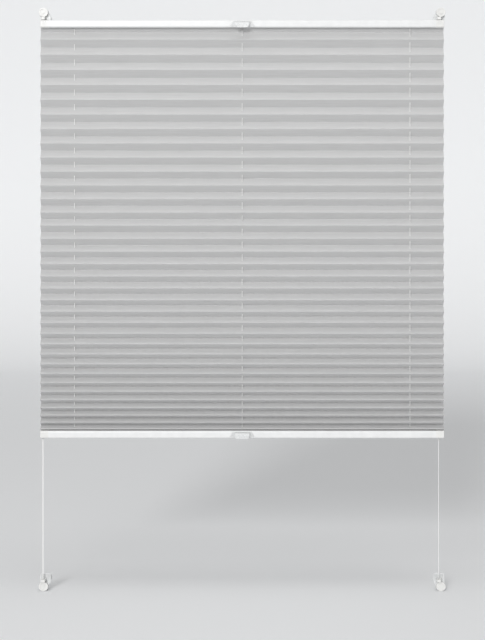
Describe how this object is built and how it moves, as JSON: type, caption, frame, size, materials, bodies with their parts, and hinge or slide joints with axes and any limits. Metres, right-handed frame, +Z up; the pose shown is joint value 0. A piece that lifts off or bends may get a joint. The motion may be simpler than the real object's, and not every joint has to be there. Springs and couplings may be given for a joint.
{
  "type": "pleated blind",
  "caption": "Clamp-on pleated window blind: grey folded cloth between two slim rails that slide on tight cords between brackets on the sash.",
  "frame": {"origin": "on the top edge of the window sash that the blind is clamped to, at the sash's room-side face, in the middle of the blind's width", "axes": "+X across the blind to its right as seen from the room, +Y from the room towards the window, +Z up"},
  "size_m": [0.8086, 0.0639, 1.1596],
  "materials": {
    "pleated_polyester": "matte woven polyester, pressed into pleats",
    "braided_cord": "fine white braid",
    "coated_aluminium": "satin white powder coat",
    "white_plastic": "moulded, satin",
    "clear_plastic": "moulded, clear and slightly milky",
    "plated_steel": "zinc plated",
    "soft_rubber": "matte, translucent grey"
  },
  "bodies": {
    "root": {"pleated_cloth": "pleated_polyester", "left_cord": "braided_cord", "right_cord": "braided_cord", "middle_cord": "braided_cord", "top_left_bracket": "clear_plastic", "top_left_cord_shoe": "white_plastic", "top_left_front_pad": "soft_rubber", "top_right_bracket": "clear_plastic", "top_right_cord_shoe": "white_plastic", "top_right_front_pad": "soft_rubber", "bottom_left_bracket": "clear_plastic", "bottom_left_cord_shoe": "white_plastic", "bottom_left_front_pad": "soft_rubber", "bottom_right_bracket": "clear_plastic", "bottom_right_cord_shoe": "white_plastic", "bottom_right_front_pad": "soft_rubber"},
    "top_rail": {"top_rail": "coated_aluminium", "top_rail_left_cap": "white_plastic", "top_rail_right_cap": "white_plastic", "top_cloth_strip": "white_plastic", "top_cord_guides": "white_plastic", "top_handle": "clear_plastic"},
    "bottom_rail": {"bottom_rail": "coated_aluminium", "bottom_rail_left_cap": "white_plastic", "bottom_rail_right_cap": "white_plastic", "bottom_cloth_strip": "white_plastic", "bottom_cord_guides": "white_plastic", "bottom_handle": "clear_plastic"},
    "top_left_clamp_screw": {"top_left_knob": "white_plastic", "top_left_screw": "plated_steel"},
    "top_left_clamp_jaw": {"top_left_jaw": "clear_plastic", "top_left_rear_pad": "soft_rubber"},
    "top_right_clamp_screw": {"top_right_knob": "white_plastic", "top_right_screw": "plated_steel"},
    "top_right_clamp_jaw": {"top_right_jaw": "clear_plastic", "top_right_rear_pad": "soft_rubber"},
    "bottom_left_clamp_screw": {"bottom_left_knob": "white_plastic", "bottom_left_screw": "plated_steel"},
    "bottom_left_clamp_jaw": {"bottom_left_jaw": "clear_plastic", "bottom_left_rear_pad": "soft_rubber"},
    "bottom_right_clamp_screw": {"bottom_right_knob": "white_plastic", "bottom_right_screw": "plated_steel"},
    "bottom_right_clamp_jaw": {"bottom_right_jaw": "clear_plastic", "bottom_right_rear_pad": "soft_rubber"}
  },
  "joints": [
    {"name": "top_rail_travel", "type": "slide", "parent": "root", "child": "top_rail", "axis": [0, 0, 1], "range_m": [-0.36, 0], "deforming": ["pleated_cloth", "left_cord", "right_cord", "middle_cord"]},
    {"name": "bottom_rail_travel", "type": "slide", "parent": "root", "child": "bottom_rail", "axis": [0, 0, 1], "range_m": [-0.27, 0.36], "deforming": ["pleated_cloth", "left_cord", "right_cord", "middle_cord"]},
    {"name": "top_left_knob_turn", "type": "hinge", "parent": "root", "child": "top_left_clamp_screw", "pos_m": [-0.395, 0, 0.0065], "axis": [0, 1, 0], "range_deg": [-900, 720]},
    {"name": "top_left_jaw_slide", "type": "slide", "parent": "root", "child": "top_left_clamp_jaw", "axis": [0, 1, 0], "range_m": [-0.004, 0.005]},
    {"name": "top_right_knob_turn", "type": "hinge", "parent": "root", "child": "top_right_clamp_screw", "pos_m": [0.395, 0, 0.0065], "axis": [0, 1, 0], "range_deg": [-900, 720]},
    {"name": "top_right_jaw_slide", "type": "slide", "parent": "root", "child": "top_right_clamp_jaw", "axis": [0, 1, 0], "range_m": [-0.004, 0.005]},
    {"name": "bottom_left_knob_turn", "type": "hinge", "parent": "root", "child": "bottom_left_clamp_screw", "pos_m": [-0.395, 0, -1.1345], "axis": [0, 1, 0], "range_deg": [-900, 720]},
    {"name": "bottom_left_jaw_slide", "type": "slide", "parent": "root", "child": "bottom_left_clamp_jaw", "axis": [0, 1, 0], "range_m": [-0.004, 0.005]},
    {"name": "bottom_right_knob_turn", "type": "hinge", "parent": "root", "child": "bottom_right_clamp_screw", "pos_m": [0.395, 0, -1.1345], "axis": [0, 1, 0], "range_deg": [-900, 720]},
    {"name": "bottom_right_jaw_slide", "type": "slide", "parent": "root", "child": "bottom_right_clamp_jaw", "axis": [0, 1, 0], "range_m": [-0.004, 0.005]}
  ],
  "couplings": [
    {"joint": "top_left_jaw_slide", "follows": "top_left_knob_turn", "m_per_rad": -0.0003183},
    {"joint": "top_right_jaw_slide", "follows": "top_right_knob_turn", "m_per_rad": -0.0003183},
    {"joint": "bottom_left_jaw_slide", "follows": "bottom_left_knob_turn", "m_per_rad": -0.0003183},
    {"joint": "bottom_right_jaw_slide", "follows": "bottom_right_knob_turn", "m_per_rad": -0.0003183}
  ]
}
